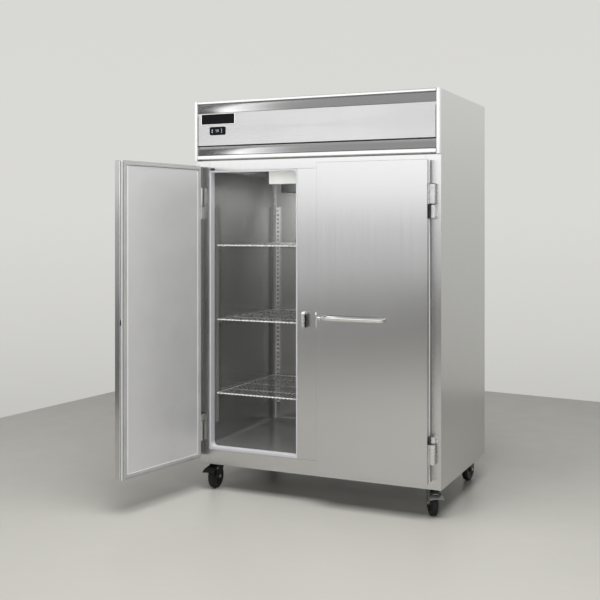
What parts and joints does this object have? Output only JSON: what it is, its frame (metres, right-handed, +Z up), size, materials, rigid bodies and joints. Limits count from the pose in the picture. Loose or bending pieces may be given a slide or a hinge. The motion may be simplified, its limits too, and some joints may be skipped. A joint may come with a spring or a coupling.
{
  "type": "reach-in refrigerator",
  "caption": "Upright two-section commercial refrigerator on casters, left door open on its hinges, wire shelves inside, condensing unit behind a hinged hood panel.",
  "frame": {"origin": "on the floor, under the middle of the whole object's bounding box as it stands with its left door open 100 degrees", "axes": "+Z up; -Y is the front, where the doors are; -X is the refrigerator's left as seen by someone facing it; +X its right"},
  "size_m": [1.5144, 1.4598, 2.089],
  "materials": {
    "side_stainless": "satin",
    "back_steel": "satin",
    "front_stainless": "satin",
    "door_stainless": "satin",
    "liner_steel": "satin",
    "pilaster_steel": "satin",
    "zinc": "satin",
    "chrome": "polished",
    "shelf_wire": "satin",
    "aluminium": "satin",
    "foam": "matte",
    "door_core": "satin",
    "breaker_plastic": "satin",
    "gasket": "matte",
    "black_plastic": "satin",
    "black_paint": "satin",
    "wheel": "matte"
  },
  "bodies": {
    "cabinet": {"base_panel": "zinc", "breaker_strip_left": "breaker_plastic", "breaker_strip_right": "breaker_plastic", "compressor": "black_paint", "condenser_coil": "aluminium", "evaporator_housing": "aluminium", "face_frame": "front_stainless", "hinge_cabinet_left_lower": "chrome", "hinge_cabinet_left_upper": "chrome", "hinge_cabinet_right_lower": "chrome", "hinge_cabinet_right_upper": "chrome", "hood_frame": "front_stainless", "insulation": "foam", "interior_liner": "liner_steel", "lock_keeper_left": "chrome", "lock_keeper_right": "chrome", "outer_wrap": "back_steel", "pilaster_centre_front": "pilaster_steel", "pilaster_centre_rear": "pilaster_steel", "pilaster_left_front": "pilaster_steel", "pilaster_left_rear": "pilaster_steel", "pilaster_right_front": "pilaster_steel", "pilaster_right_rear": "pilaster_steel", "shelf_left_1": "shelf_wire", "shelf_left_2": "shelf_wire", "shelf_left_3": "shelf_wire", "shelf_right_1": "shelf_wire", "shelf_right_2": "shelf_wire", "shelf_right_3": "shelf_wire", "side_panel_left": "side_stainless", "side_panel_right": "side_stainless"},
    "left_door": {"door_shell_left": "door_stainless", "door_liner_left": "door_core", "door_gasket_left": "gasket", "door_handle_left": "chrome", "hinge_door_left_upper": "chrome", "hinge_door_left_lower": "chrome"},
    "left_lock": {"lock_cylinder_left": "chrome"},
    "left_evaporator_fan": {"evaporator_fan_left": "black_plastic"},
    "right_door": {"door_shell_right": "door_stainless", "door_liner_right": "door_core", "door_gasket_right": "gasket", "door_handle_right": "chrome", "hinge_door_right_upper": "chrome", "hinge_door_right_lower": "chrome"},
    "right_lock": {"lock_cylinder_right": "chrome"},
    "right_evaporator_fan": {"evaporator_fan_right": "black_plastic"},
    "condenser_fan": {"condenser_fan": "aluminium"},
    "service_panel": {"service_panel": "front_stainless", "controller": "black_plastic"},
    "front_left_swivel": {"caster_fork_front_left": "zinc"},
    "front_left_wheel": {"caster_wheel_front_left": "wheel"},
    "front_right_swivel": {"caster_fork_front_right": "zinc"},
    "front_right_wheel": {"caster_wheel_front_right": "wheel"},
    "rear_left_swivel": {"caster_fork_rear_left": "zinc"},
    "rear_left_wheel": {"caster_wheel_rear_left": "wheel"},
    "rear_right_swivel": {"caster_fork_rear_right": "zinc"},
    "rear_right_wheel": {"caster_wheel_rear_right": "wheel"},
    "front_left_pedal": {"brake_pedal_front_left": "zinc"},
    "front_right_pedal": {"brake_pedal_front_right": "zinc"}
  },
  "joints": [
    {"name": "left_door_hinge", "type": "hinge", "parent": "cabinet", "child": "left_door", "pos_m": [-0.5859, -0.1412, 0.96], "axis": [0, 0, -1], "range_deg": [-100, 20]},
    {"name": "right_door_hinge", "type": "hinge", "parent": "cabinet", "child": "right_door", "pos_m": [0.7091, -0.1412, 0.96], "axis": [0, 0, 1], "range_deg": [0, 120]},
    {"name": "left_lock_turn", "type": "hinge", "parent": "left_door", "child": "left_lock", "pos_m": [-0.72948, -0.70788, 0.956], "axis": [-0.9848, 0.1736, 0], "range_deg": [0, 90]},
    {"name": "right_lock_turn", "type": "hinge", "parent": "right_door", "child": "right_lock", "pos_m": [0.1261, -0.1842, 0.956], "axis": [0, 1, 0], "range_deg": [0, 90]},
    {"name": "service_panel_hinge", "type": "hinge", "parent": "cabinet", "child": "service_panel", "pos_m": [0.0616, -0.1436, 2.023], "axis": [-1, 0, 0], "range_deg": [0, 75]},
    {"name": "left_evaporator_fan_spin", "type": "hinge", "parent": "cabinet", "child": "left_evaporator_fan", "pos_m": [-0.1164, 0.2238, 1.665], "axis": [0, 0, 1], "continuous": true},
    {"name": "right_evaporator_fan_spin", "type": "hinge", "parent": "cabinet", "child": "right_evaporator_fan", "pos_m": [0.2396, 0.2238, 1.665], "axis": [0, 0, 1], "continuous": true},
    {"name": "condenser_fan_spin", "type": "hinge", "parent": "cabinet", "child": "condenser_fan", "pos_m": [0.3116, 0.0088, 1.937], "axis": [0, 1, 0], "continuous": true},
    {"name": "front_left_caster_swivel", "type": "hinge", "parent": "cabinet", "child": "front_left_swivel", "pos_m": [-0.5394, -0.0252, 0.142], "axis": [0, 0, 1], "continuous": true},
    {"name": "front_left_wheel_roll", "type": "hinge", "parent": "front_left_swivel", "child": "front_left_wheel", "pos_m": [-0.5394, -0.0602, 0.0635], "axis": [1, 0, 0], "continuous": true},
    {"name": "front_left_brake", "type": "hinge", "parent": "front_left_swivel", "child": "front_left_pedal", "pos_m": [-0.5394, -0.0912, 0.114], "axis": [1, 0, 0], "range_deg": [0, 18]},
    {"name": "front_right_caster_swivel", "type": "hinge", "parent": "cabinet", "child": "front_right_swivel", "pos_m": [0.6626, -0.0252, 0.142], "axis": [0, 0, 1], "continuous": true},
    {"name": "front_right_wheel_roll", "type": "hinge", "parent": "front_right_swivel", "child": "front_right_wheel", "pos_m": [0.68115, -0.05488, 0.0635], "axis": [0.848, 0.5299, 0], "continuous": true},
    {"name": "front_right_brake", "type": "hinge", "parent": "front_right_swivel", "child": "front_right_pedal", "pos_m": [0.69757, -0.08117, 0.114], "axis": [0.848, 0.5299, 0], "range_deg": [0, 18]},
    {"name": "rear_left_caster_swivel", "type": "hinge", "parent": "cabinet", "child": "rear_left_swivel", "pos_m": [-0.5394, 0.6308, 0.142], "axis": [0, 0, 1], "continuous": true},
    {"name": "rear_left_wheel_roll", "type": "hinge", "parent": "rear_left_swivel", "child": "rear_left_wheel", "pos_m": [-0.54668, 0.66504, 0.0635], "axis": [-0.9781, -0.2079, 0], "continuous": true},
    {"name": "rear_right_caster_swivel", "type": "hinge", "parent": "cabinet", "child": "rear_right_swivel", "pos_m": [0.6626, 0.6308, 0.142], "axis": [0, 0, 1], "continuous": true},
    {"name": "rear_right_wheel_roll", "type": "hinge", "parent": "rear_right_swivel", "child": "rear_right_wheel", "pos_m": [0.66504, 0.66571, 0.0635], "axis": [-0.9976, 0.0698, 0], "continuous": true}
  ]
}
